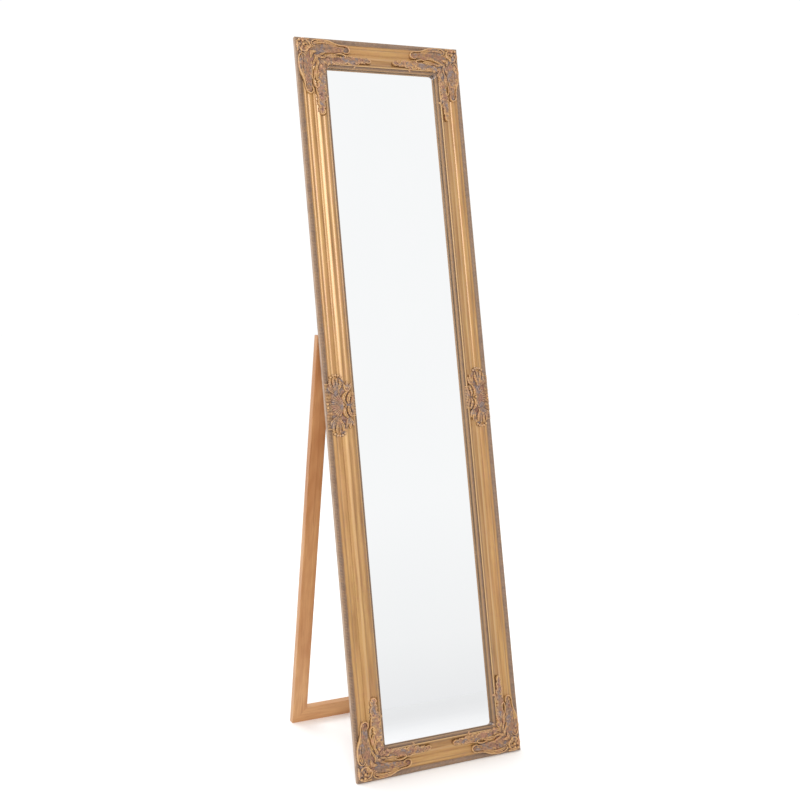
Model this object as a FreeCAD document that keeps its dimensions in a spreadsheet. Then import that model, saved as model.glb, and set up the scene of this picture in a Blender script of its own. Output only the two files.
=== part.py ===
import FreeCAD, Part
import math
import os
import Sketcher

# Leaning floor mirror: a mitred gilt frame with composition ornaments, standing on its bottom rail
# and on a flat wooden stand frame that is hinged to the backs of the two stiles.
#
# Row frame, in millimetres: +X to the viewer's right, +Y to the back, +Z up, the floor at Z = 0.
# Frame pieces are drawn upright in mirror coordinates (X across, Y depth, Z height), with Y = 0 at
# the front of the outer bead and Z = 0 at the bottom, and are then tipped back by the lean.
# Stand pieces are drawn upright in stand coordinates, with Y = 0 at the front face of the stand.

SIZES = [
    ("frame_width", 400, "overall width of the gilt frame"),
    ("frame_height", 1600, "overall height of the gilt frame, along its lean"),
    ("frame_lean", 11.4, "angle of the mirror from vertical, degrees"),
    ("rail_width", 66, "width of the moulding seen from the front"),
    ("back_depth", 11, "outer bead front to the flat back"),
    ("side_height", 9, "height of the plain outer side of the moulding"),
    ("bead_width", 8, "outer bead, across"),
    ("bead_crown", 2, "outer bead, crown above its edges"),
    ("fillet_across", 10.4, "groove beside the outer bead, distance from the outer edge"),
    ("fillet_depth", 2.4, "groove beside the outer bead, depth"),
    ("torus_across", 17, "end of the small round inside the groove"),
    ("torus_crown", 1.7, "crown of that round above its chord"),
    ("ogee_across", 30, "end of the outer gold band"),
    ("ogee_crown", 2.4, "crown of the outer gold band above its chord"),
    ("step_across", 33.5, "top of the step between the two gold bands"),
    ("step_rise", 2.2, "rise of that step in front of the outer bead"),
    ("listel_across", 40, "end of the narrow round on the step"),
    ("listel_rise", 3.2, "rise of the end of that round"),
    ("listel_crown", 1.1, "crown of that round"),
    ("cove_across", 57.5, "end of the wide inner gold band"),
    ("cove_rise", 10.2, "rise of the end of that band"),
    ("cove_crown", 1.6, "hollow of that band below its chord"),
    ("ridge_across", 61.2, "inner foot of the narrow ridge"),
    ("ridge_rise", 8.4, "rise of the inner foot of the ridge"),
    ("ridge_crown", 1.7, "crown of the ridge"),
    ("sight_rise", 7, "rise of the sight edge"),
    ("sight_crown", 1, "crown of the inner bead"),
    ("glass_depth", 3.5, "front of the glass behind the outer bead front"),
    ("rebate_width", 8, "glass rebate, across"),
    ("glass_thickness", 3, "mirror glass"),
    ("board_thickness", 3, "backing board"),
    ("rebate_play", 1, "gap round the glass and the board in the rebate"),
    ("point_length", 12, "glazing point, overall"),
    ("point_width", 6, "glazing point"),
    ("point_thickness", 0.6, "glazing point"),
    ("point_bite", 4, "glazing point, length driven into the wood"),
    ("point_across", 84, "glazing points in the rails, from the middle"),
    ("nail_leg", 9, "V-nail, length of each leg"),
    ("nail_thickness", 0.6, "V-nail"),
    ("nail_depth", 7, "V-nail, depth driven into the wood"),
    ("nail_outer", 16.5, "V-nail of the frame nearer the corner, from both outer edges"),
    ("nail_inner", 39.5, "V-nail of the frame further from the corner"),
    ("stand_nail_outer", 10.5, "V-nail of the stand nearer the corner, from both outer edges"),
    ("stand_nail_inner", 22.5, "V-nail of the stand further from the corner"),
    ("ornament_rise", 4.6, "height of the composition ornaments above the moulding"),
    ("skin_inset", 0.6, "composition, distance inside the outer and the sight edge"),
    ("skin_foot", 1, "composition, how deep its underside is drawn before it is cut to the moulding"),
    ("skin_edge", 1.5, "composition, how much lower it is at the outer edge"),
    ("skin_swell", 1.4, "composition, how much higher it is over the outer gold band"),
    ("skin_crown", 2, "composition, crown of its rounded outer edge"),
    ("edge_inset", 0.8, "ornament outlines, distance inside the outer edge"),
    ("clump", 3, "corner ornament, cut-off of its outermost corner"),
    ("scroll_start", 56, "corner ornament, where the scroll leaves the edge"),
    ("corner_reach", 127, "corner ornament, outer scroll from the frame's corner"),
    ("scroll_shoulder", 8, "corner ornament, scroll's shoulder before its reach"),
    ("scroll_crown", 6, "corner ornament, crown of the scroll's outer side"),
    ("scroll_turn", 20, "corner ornament, scroll's tip from the outer edge"),
    ("scroll_hook", 31, "corner ornament, end of the scroll's hook from the outer edge"),
    ("hook_length", 16, "corner ornament, end of the hook before the scroll's reach"),
    ("branch_leave", 39, "corner ornament, where the branch leaves the scroll, from the outer edge"),
    ("branch_reach", 172, "corner ornament, inner leaf branch from the frame's corner"),
    ("branch_outer", 43, "corner ornament, outer side of the branch's tip from the outer edge"),
    ("branch_inner", 54, "corner ornament, inner side of the branch's tip from the outer edge"),
    ("branch_root", 58, "corner ornament, inner side of the branch's root from the outer edge"),
    ("leaf_crown", 2, "ornament outlines, crown of each leaf tip"),
    ("cartouche_length", 136, "side cartouche, along the stile"),
    ("cartouche_drop", 5, "side cartouche, below the middle of the stile"),
    ("cartouche_outer", 41, "side cartouche, half length along the outer edge"),
    ("cartouche_shoulder", 63, "side cartouche, half length at the edge of its end sprays"),
    ("cartouche_inner", 22, "side cartouche, half length along the ridge"),
    ("cartouche_swell", 6, "side cartouche, crown of its side towards the glass"),
    ("spray_outer", 20, "side cartouche, outer tip of the end spray from the outer edge"),
    ("spray_inner", 32, "side cartouche, inner tip of the end spray from the outer edge"),
    ("boss_outer", 46, "side cartouche, inner band's leaves from the outer edge"),
    ("stand_width", 400, "overall width of the stand frame"),
    ("stand_rail", 35, "width of the stand's members"),
    ("stand_depth", 16, "thickness of the stand's members"),
    ("stand_round", 1.5, "rounded long edges of the stand's members"),
    ("stand_lean", 10.65, "angle of the stand from vertical, degrees"),
    ("hinge_height", 950, "hinge axis above the bottom of the frame, along the lean"),
    ("hinge_across", 180, "middle of each hinge from the middle of the frame"),
    ("hinge_width", 21, "hinge, along its pin"),
    ("leaf_length", 34, "hinge leaf, from the pin to its free end"),
    ("leaf_thickness", 1.6, "hinge leaf"),
    ("knuckle_radius", 3.2, "hinge knuckle, outside"),
    ("knuckle_gap", 0.35, "end play between two knuckles"),
    ("knuckle_clear", 0.5, "gap between a knuckle or the pin and the end of a leaf or the leg"),
    ("neck_overlap", 1, "how far the neck of a knuckle runs on under the leaf"),
    ("pin_radius", 1.5, "hinge pin"),
    ("pin_play", 0.05, "radial clearance of the pin in the knuckles"),
    ("heel_length", 10, "stop heel of the stand leaf, from the pin"),
    ("stop_gap", 0.3, "paint gap between the heel and the frame leaf"),
    ("fold_gap", 0.8, "gap between the folded stand leaf and the frame's back"),
    ("screw_head", 3, "screw head radius"),
    ("screw_shank", 1.5, "screw shank radius"),
    ("screw_length", 9.5, "screw, overall"),
    ("screw_point", 2.25, "screw, length of its point"),
    ("screw_tip", 0.2, "screw, radius of its tip"),
    ("screw_first", 11, "nearer screw from the hinge pin"),
    ("screw_second", 27, "further screw from the hinge pin"),
    ("cut_over", 1, "how far a cutting outline reaches past the wood"),
]

doc = FreeCAD.newDocument("floor_mirror")
sheet = doc.addObject("Spreadsheet::Sheet", "Sizes")
for row, (alias, value, meaning) in enumerate(SIZES, start=1):
    sheet.set(f"A{row}", meaning)
    sheet.set(f"B{row}", str(value))
    sheet.setAlias(f"B{row}", alias)
doc.recompute()

V = FreeCAD.Vector
X_AXIS = V(1, 0, 0)
Y_AXIS = V(0, 1, 0)
nodes = []


def number(expression):
    """The value of an expression written with the sheet's aliases."""
    return float(sheet.evalExpression(expression))


def bound(expression):
    """The same expression as another object has to write it, with the sheet's name before each alias."""
    for alias in sorted((name for name, _, _ in SIZES), key=len, reverse=True):
        expression = expression.replace(alias, f"<<Sizes>>.#{SIZES_KEY[alias]}")
    for alias, key in SIZES_KEY.items():
        expression = expression.replace(f"#{key}", alias)
    return expression


SIZES_KEY = {name: f"{index:03d}" for index, (name, _, _) in enumerate(SIZES)}


# Placements. mirror_place tips a mirror-coordinate piece back; stand_place does the same for the stand.

def turn(axis, degrees, base=V(0, 0, 0)):
    return FreeCAD.Placement(base, FreeCAD.Rotation(axis, degrees))


FRAME_LEAN = number("frame_lean")
STAND_LEAN = number("stand_lean")
LEAN_SIN = math.sin(math.radians(FRAME_LEAN))
LEAN_COS = math.cos(math.radians(FRAME_LEAN))
# The bottom rail stands on its back arris.
FLOOR_LIFT = number("back_depth") * LEAN_SIN

# The hinge axis in mirror coordinates, and how far it stands behind the stand's front face.
HINGE_DEPTH = number("back_depth + knuckle_radius")
HINGE_HEIGHT = number("hinge_height")
PIN_BEHIND_FACE = number("knuckle_radius - fold_gap - leaf_thickness")
PIN_ABOVE_LEG = number("knuckle_radius + knuckle_clear")


def row_point(across, depth, height, shift):
    """A point of the mirror's own coordinates, in the row frame."""
    along = depth * LEAN_COS + height * LEAN_SIN + shift
    up = height * LEAN_COS - depth * LEAN_SIN + FLOOR_LIFT
    return V(across, along, up)


# The stand's length follows from the hinge height, its lean and the floor.
hinge_row = row_point(0, HINGE_DEPTH, HINGE_HEIGHT, 0)
stand_sin = math.sin(math.radians(STAND_LEAN))
stand_cos = math.cos(math.radians(STAND_LEAN))
PIN_IN_STAND = (hinge_row.z - PIN_BEHIND_FACE * stand_sin) / stand_cos
STAND_LENGTH = PIN_IN_STAND - PIN_ABOVE_LEG
FOOT_BACK = hinge_row.y + PIN_IN_STAND * stand_sin - PIN_BEHIND_FACE * stand_cos


def mirror_place(shift):
    return turn(X_AXIS, -FRAME_LEAN, V(0, shift, FLOOR_LIFT))


def stand_place(shift):
    return turn(X_AXIS, STAND_LEAN, V(0, FOOT_BACK + shift, 0))


def keep(item, label, place, local=FreeCAD.Placement()):
    """Marks an object as a kept piece, with the group placement it takes at the end."""
    item.Label = label
    nodes.append((item, place, local))
    return item


# Sketches and bodies

def new_body(name):
    return doc.addObject("PartDesign::Body", name)


def new_sketch(body, name, role):
    sketch = body.newObject("Sketcher::SketchObject", name)
    plane = [item for item in body.Origin.OriginFeatures if item.Role == role][0]
    sketch.AttachmentSupport = [(plane, "")]
    sketch.MapMode = "FlatFace"
    return sketch


def arc_radius(run, rise, bulge):
    """The radius of an arc over a chord with that run and rise, standing off it by the bulge."""
    return f"(({run})^2 + ({rise})^2) / (8 * abs({bulge})) + abs({bulge}) / 2"


def draw_outline(sketch, corners):
    """Draws a closed outline. Each corner is (across, up, bulge): expressions, and the bulge of the stretch
    that leaves it, to the left of the way it runs, or None for a straight stretch."""
    points = [V(number(across), number(up), 0) for across, up, _ in corners]
    starts = []
    for index, (across, up, bulge) in enumerate(corners):
        first = points[index]
        last = points[(index + 1) % len(points)]
        if bulge is None:
            edge = sketch.addGeometry(Part.LineSegment(first, last))
            starts.append((edge, 1, 2))
            continue
        chord = last - first
        side = V(-chord.y, chord.x, 0).normalize()
        middle = (first + last) * 0.5 + side * number(bulge)
        clockwise = number(bulge) > 0
        ends = (last, first) if clockwise else (first, last)
        edge = sketch.addGeometry(Part.Arc(ends[0], middle, ends[1]))
        starts.append((edge, 2, 1) if clockwise else (edge, 1, 2))
    for index, (edge, start, end) in enumerate(starts):
        next_edge, next_start, _ = starts[(index + 1) % len(starts)]
        sketch.addConstraint(Sketcher.Constraint("Coincident", edge, end, next_edge, next_start))
    for (edge, start, _), (across, up, _), point in zip(starts, corners, points):
        for kind, text, value in (("DistanceX", across, point.x), ("DistanceY", up, point.y)):
            rule = sketch.addConstraint(Sketcher.Constraint(kind, -1, 1, edge, start, value))
            sketch.setExpression(f"Constraints[{rule}]", bound(text))
    for index, (across, up, bulge) in enumerate(corners):
        if bulge is None:
            continue
        edge = starts[index][0]
        next_across, next_up, _ = corners[(index + 1) % len(corners)]
        radius = arc_radius(f"({next_across}) - ({across})", f"({next_up}) - ({up})", bulge)
        rule = sketch.addConstraint(Sketcher.Constraint("Radius", edge, number(radius)))
        sketch.setExpression(f"Constraints[{rule}]", bound(radius))


def pad(body, sketch, length, both_ways=False):
    feature = body.newObject("PartDesign::Pad", "Pad")
    feature.Profile = sketch
    feature.SideType = "Symmetric" if both_ways else "One side"
    feature.setExpression("Length", bound(length))
    sketch.Visibility = False
    return feature


def pocket_through(body, sketch):
    feature = body.newObject("PartDesign::Pocket", "Pocket")
    feature.Profile = sketch
    feature.SideType = "Symmetric"
    feature.Type = "Length"
    feature.setExpression("Length", bound("frame_height * 3"))
    sketch.Visibility = False
    return feature


def mitre_both_ends(body, length, width):
    """Cuts both ends at 45 degrees, so that the outer edge, at X = 0, keeps the full length."""
    low = new_sketch(body, "MitreLow", "XZ_Plane")
    past = f"{width} + cut_over"
    draw_outline(low, [("0 - cut_over", "0 - cut_over", None), (past, "0 - cut_over", None),
                       (past, past, None)])
    pocket_through(body, low)
    high = new_sketch(body, "MitreHigh", "XZ_Plane")
    draw_outline(high, [("0 - cut_over", f"{length} + cut_over", None),
                        (past, f"{length} - {width} - cut_over", None),
                        (past, f"{length} + cut_over", None)])
    pocket_through(body, high)


# The gilt frame: four mitred lengths of one moulding

FRONT_PROFILE = [
    ("0", "back_depth - side_height", "0 - bead_crown"),
    ("bead_width", "back_depth - side_height", None),
    ("fillet_across", "fillet_depth", "0 - torus_crown"),
    ("torus_across", "0", "0 - ogee_crown"),
    ("ogee_across", "0", None),
    ("step_across", "0 - step_rise", "0 - listel_crown"),
    ("listel_across", "0 - listel_rise", "cove_crown"),
    ("cove_across", "0 - cove_rise", "0 - ridge_crown"),
    ("ridge_across", "0 - ridge_rise", "0 - sight_crown"),
    ("rail_width", "0 - sight_rise", None),
]
REBATE_PROFILE = [
    ("rail_width", "glass_depth", None),
    ("rail_width - rebate_width", "glass_depth", None),
    ("rail_width - rebate_width", "back_depth", None),
]
FRAME_PROFILE = FRONT_PROFILE + REBATE_PROFILE + [("0", "back_depth", None)]


def moulding(name, length):
    """A length of moulding in its own coordinates: X from the outer edge inwards, Y depth, Z along."""
    body = new_body(name)
    profile = new_sketch(body, "Profile", "XY_Plane")
    draw_outline(profile, FRAME_PROFILE)
    pad(body, profile, length)
    mitre_both_ends(body, length, "rail_width")
    return body


half_width = number("frame_width / 2")
frame_height = number("frame_height")
LEFT_SIDE = turn(Y_AXIS, 0, V(-half_width, 0, 0))
RIGHT_SIDE = turn(Y_AXIS, 180, V(half_width, 0, frame_height))
TOP_SIDE = turn(Y_AXIS, 90, V(-half_width, 0, frame_height))
BOTTOM_SIDE = turn(Y_AXIS, -90, V(half_width, 0, 0))

SIDES = {
    "left": ("left_stile", "frame_height", LEFT_SIDE),
    "right": ("right_stile", "frame_height", RIGHT_SIDE),
    "top": ("top_rail", "frame_width", TOP_SIDE),
    "bottom": ("bottom_rail", "frame_width", BOTTOM_SIDE),
}
for label, length, local in SIDES.values():
    keep(moulding(label, length), label, mirror_place, local)


# Glass and backing, laid in the rebate from behind

def sheet_of(label, front, thickness):
    body = new_body(label)
    outline = new_sketch(body, "Outline", "XZ_Plane")
    side = "(frame_width / 2 - rail_width + rebate_width - rebate_play)"
    low = "(rail_width - rebate_width + rebate_play)"
    high = f"(frame_height - {low})"
    draw_outline(outline, [(f"0 - {side}", low, None), (side, low, None), (side, high, None),
                           (f"0 - {side}", high, None)])
    feature = pad(body, outline, thickness)
    feature.Reversed = True
    local = FreeCAD.Placement(V(0, number(front), 0), FreeCAD.Rotation())
    return keep(body, label, mirror_place, local)


sheet_of("mirror_glass", "glass_depth", "glass_thickness")
sheet_of("backing_board", "glass_depth + glass_thickness", "board_thickness")


# Small repeated pieces, each group one compound of separate solids

def fused(name, shapes):
    if len(shapes) == 1:
        return shapes[0]
    item = doc.addObject("Part::MultiFuse", name)
    item.Shapes = shapes
    return item


def cut(name, base, tools):
    item = doc.addObject("Part::Cut", name)
    item.Base = base
    item.Tool = fused(f"{name}_tools", tools)
    return item


def bound_box(name, length, width, height, base):
    box = doc.addObject("Part::Box", name)
    box.setExpression("Length", bound(length))
    box.setExpression("Width", bound(width))
    box.setExpression("Height", bound(height))
    box.Placement = base
    return box


def group(label, pieces, place):
    compound = doc.addObject("Part::Compound", label)
    compound.Links = pieces
    return keep(compound, label, place)


def glazing_point(index, across, height, angle):
    """A flat steel point that lies on the board with its tip driven into the rebate's wall."""
    depth = number("glass_depth + glass_thickness + board_thickness")
    base = turn(Y_AXIS, angle, V(across, depth, height))
    shift = turn(Y_AXIS, 0, V(number("0 - point_bite"), 0, number("0 - point_width / 2")))
    return bound_box(f"Point{index}", "point_length", "point_thickness", "point_width",
                     base.multiply(shift))


POINTS_PER_STILE = 7
POINTS_PER_RAIL = 2
wall = number("rail_width - rebate_width")
spots = []
for count in range(POINTS_PER_STILE):
    height = frame_height * (count + 0.5) / POINTS_PER_STILE
    spots.append((wall - half_width, height, 0))
    spots.append((half_width - wall, height, 180))
for count in range(POINTS_PER_RAIL):
    across = number("point_across") * (2 * count - 1)
    spots.append((across, wall, -90))
    spots.append((across, frame_height - wall, 90))
group("glazing_points", [glazing_point(n, *spot) for n, spot in enumerate(spots)], mirror_place)


def v_nail(name, corner, inward, back, along):
    """A V-nail across a mitre, driven in from the back. Its point is on the mitre line, along from the
    frame's corner in both directions, and each leg lies in one of the two members. inward gives the
    signs of the way from the corner into the frame."""
    leg = number("nail_leg")
    half = number("nail_thickness / 2")
    point = [corner[n] + inward[n] * along for n in (0, 1)]
    leg_start = [point[n] - (half if inward[n] > 0 else leg - half) for n in (0, 1)]
    depth = back - number("nail_depth")
    across = bound_box(f"{name}_across", "nail_leg", "nail_depth", "nail_thickness",
                       turn(Y_AXIS, 0, V(leg_start[0], depth, point[1] - half)))
    upright = bound_box(f"{name}_upright", "nail_thickness", "nail_depth", "nail_leg",
                        turn(Y_AXIS, 0, V(point[0] - half, depth, leg_start[1])))
    return fused(name, [across, upright])


def corner_nails(label, half, low, high, back, alongs, place):
    nails = []
    for across_sign in (-1, 1):
        for level, height_sign in ((low, 1), (high, -1)):
            for along in alongs:
                nails.append(v_nail(f"{label}{len(nails)}", (across_sign * half, level),
                                    (-across_sign, height_sign), back, along))
    return group(label, nails, place)


corner_nails("frame_v_nails", half_width, 0, frame_height, number("back_depth"),
             (number("nail_outer"), number("nail_inner")), mirror_place)


# Composition ornaments. Each is the part of a thicker skin over the moulding that lies inside its outline,
# with the moulding itself cut away, so that it sits face to face on the profile.

SKIN_PROFILE = [
    ("skin_inset", "skin_foot", None),
    ("skin_inset", "skin_edge - ornament_rise", "0 - skin_crown"),
    ("torus_across", "0 - ornament_rise - skin_swell", None),
    ("ogee_across", "0 - ornament_rise - skin_swell", None),
    ("listel_across", "0 - listel_rise - ornament_rise", None),
    ("cove_across", "0 - cove_rise - ornament_rise", None),
    ("ridge_across", "0 - cove_rise - ornament_rise", "0 - skin_crown / 2"),
    ("rail_width - skin_inset", "0 - sight_rise - skin_swell", None),
    ("rail_width - skin_inset", "skin_foot - sight_rise", None),
]


def skin(name, length):
    body = new_body(name)
    profile = new_sketch(body, "Profile", "XY_Plane")
    draw_outline(profile, SKIN_PROFILE)
    pad(body, profile, length)
    mitre_both_ends(body, length, "rail_width")
    return body


def outline_prism(name, corners, local):
    body = new_body(name)
    outline = new_sketch(body, "Outline", "XZ_Plane")
    draw_outline(outline, corners)
    pad(body, outline, "rail_width", both_ways=True)
    body.Placement = local
    return body


# One arm of the corner ornament, from the frame's corner: an outer scroll with a hooked tip, then a leaf
# branch that runs on along the inner band. The other arm is its reflection in the mitre.
CORNER_ARM = [
    ("scroll_start", "edge_inset", None),
    ("corner_reach - scroll_shoulder", "edge_inset", "0 - scroll_crown"),
    ("corner_reach", "scroll_turn", "0 - leaf_crown"),
    ("corner_reach - hook_length", "scroll_hook", "leaf_crown"),
    ("corner_reach", "branch_leave", None),
    ("branch_reach", "branch_outer", "0 - leaf_crown"),
    ("branch_reach - hook_length", "branch_inner", "leaf_crown"),
    ("corner_reach - scroll_shoulder", "branch_root", "0 - leaf_crown"),
    ("rail_width + scroll_shoulder", "rail_width - 2 * skin_inset", None),
]


def reflected(arm):
    """The other arm: the same points with the two directions swapped, in reverse order."""
    bulges = [bulge for _, _, bulge in arm]
    swapped = []
    for index in range(len(arm) - 1, -1, -1):
        across, up, _ = arm[index]
        bulge = bulges[index - 1] if index > 0 else None
        swapped.append((up, across, bulge))
    return swapped


CORNER_OUTLINE = ([("clump", "edge_inset", None)] + CORNER_ARM
                  + [("rail_width + cut_over", "rail_width + cut_over", None)]
                  + reflected(CORNER_ARM) + [("edge_inset", "clump", None)])

CARTOUCHE_OUTLINE = [
    ("edge_inset", "0 - cartouche_outer", None),
    ("bead_width", "0 - cartouche_shoulder", "0 - leaf_crown"),
    ("spray_outer", "0 - cartouche_length / 2", "0 - leaf_crown"),
    ("spray_inner", "0 - cartouche_shoulder", "leaf_crown"),
    ("boss_outer", "0 - cartouche_outer", "0 - leaf_crown"),
    ("branch_root", "0 - cartouche_inner", "0 - cartouche_swell"),
    ("branch_root", "cartouche_inner", "0 - leaf_crown"),
    ("boss_outer", "cartouche_outer", "leaf_crown"),
    ("spray_inner", "cartouche_shoulder", "0 - leaf_crown"),
    ("spray_outer", "cartouche_length / 2", "0 - leaf_crown"),
    ("bead_width", "cartouche_shoulder", None),
    ("edge_inset", "cartouche_outer", None),
]


def ornament(label, outline, local, skins, rails):
    relief = doc.addObject("Part::MultiCommon", f"{label}_relief")
    relief.Shapes = [outline_prism(f"{label}_outline", outline, local), fused(f"{label}_cover", skins)]
    return keep(cut(label, relief, rails), label, mirror_place)


# A skin over each side, and the moulding again for the skin to be cut against, both upright in mirror
# coordinates.
skins = {}
bases = {}
for side, (label, length, local) in SIDES.items():
    skins[side] = skin(f"{side}_skin", length)
    bases[side] = moulding(f"{side}_base", length)
    for body in (skins[side], bases[side]):
        body.Placement = local

# The outlines are drawn with X from the outer edge inwards and Z up, so a right-hand or top corner is
# the same outline turned about the depth axis: each turn of 90 degrees swaps the two equal arms.
CORNER_PLACES = {
    ("bottom", "left"): turn(Y_AXIS, 0, V(-half_width, 0, 0)),
    ("bottom", "right"): turn(Y_AXIS, -90, V(half_width, 0, 0)),
    ("top", "right"): turn(Y_AXIS, 180, V(half_width, 0, frame_height)),
    ("top", "left"): turn(Y_AXIS, 90, V(-half_width, 0, frame_height)),
}
for (level, side), local in CORNER_PLACES.items():
    ornament(f"{level}_{side}_corner_ornament", CORNER_OUTLINE, local,
             [skins[level], skins[side]], [bases[level], bases[side]])

cartouche_height = number("frame_height / 2 - cartouche_drop")
CARTOUCHE_PLACES = {
    "left": turn(Y_AXIS, 0, V(-half_width, 0, cartouche_height)),
    "right": turn(Y_AXIS, 180, V(half_width, 0, cartouche_height)),
}
for side, local in CARTOUCHE_PLACES.items():
    ornament(f"{side}_cartouche", CARTOUCHE_OUTLINE, local, [skins[side]], [bases[side]])


# The stand: a flat mitred frame of plain wood

QUARTER_ROUND = "0 - stand_round * (1 - sqrt(0.5))"
ROUNDED_FACE = [
    ("0", "stand_round", QUARTER_ROUND),
    ("stand_round", "0", None),
    ("stand_rail - stand_round", "0", QUARTER_ROUND),
    ("stand_rail", "stand_round", None),
]
PLAIN_BACK = [("stand_rail", "stand_depth", None), ("0", "stand_depth", None)]
# The bottom member reaches down behind its front edge, so that its whole sole lies on the floor.
SOLE_EDGE = [("stand_rail", "stand_depth", None),
             ("0 - stand_depth * tan(stand_lean * 1deg)", "stand_depth", None)]


def stand_member(label, length, back, local):
    body = new_body(label)
    profile = new_sketch(body, "Profile", "XY_Plane")
    face = ROUNDED_FACE if back is PLAIN_BACK else [("0", "0", None)] + ROUNDED_FACE[2:]
    draw_outline(profile, face + back)
    pad(body, profile, length)
    if back is PLAIN_BACK:
        mitre_both_ends(body, length, "stand_rail")
    else:
        mitre_above_sole(body, length)
    return keep(body, label, stand_place, local)


def mitre_above_sole(body, length):
    """The bottom member's mitres stop at its front lower edge: the sole wedge runs the full width."""
    low = new_sketch(body, "MitreLow", "XZ_Plane")
    past = "stand_rail + cut_over"
    draw_outline(low, [("0", "0", None), ("0", "0 - cut_over", None), (past, "0 - cut_over", None),
                       (past, past, None)])
    pocket_through(body, low)
    high = new_sketch(body, "MitreHigh", "XZ_Plane")
    draw_outline(high, [("0", length, None), (past, f"{length} - stand_rail - cut_over", None),
                        (past, f"{length} + cut_over", None), ("0", f"{length} + cut_over", None)])
    pocket_through(body, high)


stand_half = number("stand_width / 2")
LEG_LENGTH = f"{STAND_LENGTH:.6f}"
leg_places = {
    "left": turn(Y_AXIS, 0, V(-stand_half, 0, 0)),
    "right": turn(Y_AXIS, 180, V(stand_half, 0, STAND_LENGTH)),
}
for side, local in leg_places.items():
    stand_member(f"{side}_leg", LEG_LENGTH, PLAIN_BACK, local)
stand_member("stand_top_rail", "stand_width", PLAIN_BACK, turn(Y_AXIS, 90, V(-stand_half, 0, STAND_LENGTH)))
stand_member("stand_bottom_rail", "stand_width", SOLE_EDGE, turn(Y_AXIS, -90, V(stand_half, 0, 0)))
corner_nails("stand_v_nails", stand_half, 0, STAND_LENGTH, number("stand_depth"),
             (number("stand_nail_outer"), number("stand_nail_inner")), stand_place)


# Hinges. The frame leaf is screwed to the stile's back above the pin; the stand leaf to the leg's front
# below it. The middle knuckle belongs to the stand leaf, and its heel stops against the frame leaf.

def bound_cylinder(name, radius, length, base):
    cylinder = doc.addObject("Part::Cylinder", name)
    cylinder.setExpression("Radius", bound(radius))
    cylinder.setExpression("Height", bound(length))
    cylinder.Placement = base
    return cylinder


def along_x(x, y, z):
    return FreeCAD.Placement(V(x, y, z), FreeCAD.Rotation(Y_AXIS, 90))


def along_y(x, y, z, direction):
    return FreeCAD.Placement(V(x, y, z), FreeCAD.Rotation(X_AXIS, -90 * direction))


SEGMENT = "(hinge_width / 3)"
LEAF_PLATE = "leaf_length - knuckle_radius - knuckle_clear"
NECK_LENGTH = "knuckle_radius + neck_overlap"
HEEL_LENGTH = "heel_length - pin_radius - knuckle_clear"
segment = number(SEGMENT)
leaf_width = number("hinge_width")
leaf = number("leaf_thickness")
SCREW_SPOTS = (number("screw_first"), number("screw_second"))


def cone(name, base_radius, top_radius, height, place):
    item = doc.addObject("Part::Cone", name)
    item.setExpression("Radius1", bound(base_radius))
    item.setExpression("Radius2", bound(top_radius))
    item.setExpression("Height", bound(height))
    item.Placement = place
    return item


def screw(name, spot, direction):
    """A countersunk wood screw. spot is the middle of its head, and direction the way it is driven in Y."""
    head = cone(f"{name}_head", "screw_head", "screw_shank", "screw_head - screw_shank",
                along_y(*spot, direction))
    shank = bound_cylinder(f"{name}_shank", "screw_shank", "screw_length - screw_point",
                           along_y(*spot, direction))
    shank_end = spot[1] + direction * number("screw_length - screw_point")
    point = cone(f"{name}_point", "screw_shank", "screw_tip", "screw_point",
                 along_y(spot[0], shank_end, spot[2], direction))
    return fused(name, [head, shank, point])


def screw_hole(name, spot, direction):
    """The countersunk hole in a leaf for that screw, a little wider than the screw."""
    sink = cone(f"{name}_sink", "screw_head + pin_play", "screw_shank + pin_play",
                "screw_head - screw_shank", along_y(*spot, direction))
    through = bound_cylinder(f"{name}_through", "screw_shank + pin_play", "leaf_thickness * 3",
                             along_y(spot[0], spot[1] - direction * leaf, spot[2], direction))
    return fused(name, [sink, through])


def frame_leaf(side, middle):
    """In mirror coordinates, on the frame's back."""
    back = number("back_depth")
    low = middle - leaf_width / 2
    name = f"{side}_frame_leaf"
    clear = number("knuckle_radius + knuckle_clear")
    plate = bound_box(f"{name}_plate", "hinge_width", "leaf_thickness", LEAF_PLATE,
                      turn(Y_AXIS, 0, V(low, back, HINGE_HEIGHT + clear)))
    parts = [plate]
    for index in (0, 2):
        start = low + index * segment + (0 if index == 0 else number("knuckle_gap"))
        parts.append(bound_cylinder(f"{name}_knuckle{index}", "knuckle_radius", f"{SEGMENT} - knuckle_gap",
                                    along_x(start, HINGE_DEPTH, HINGE_HEIGHT)))
        parts.append(bound_box(f"{name}_neck{index}", f"{SEGMENT} - knuckle_gap", "leaf_thickness",
                               NECK_LENGTH, turn(Y_AXIS, 0, V(start, back, HINGE_HEIGHT))))
    bore = bound_cylinder(f"{name}_bore", "pin_radius + pin_play", "hinge_width * 2",
                          along_x(low - leaf_width / 2, HINGE_DEPTH, HINGE_HEIGHT))
    spots = [(middle, back + leaf, HINGE_HEIGHT + reach) for reach in SCREW_SPOTS]
    holes = [screw_hole(f"{name}_hole{n}", spot, -1) for n, spot in enumerate(spots)]
    keep(cut(name, fused(f"{name}_blank", parts), [bore] + holes), name, mirror_place)
    return [screw(f"{name}_screw{n}", spot, -1) for n, spot in enumerate(spots)]


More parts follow.
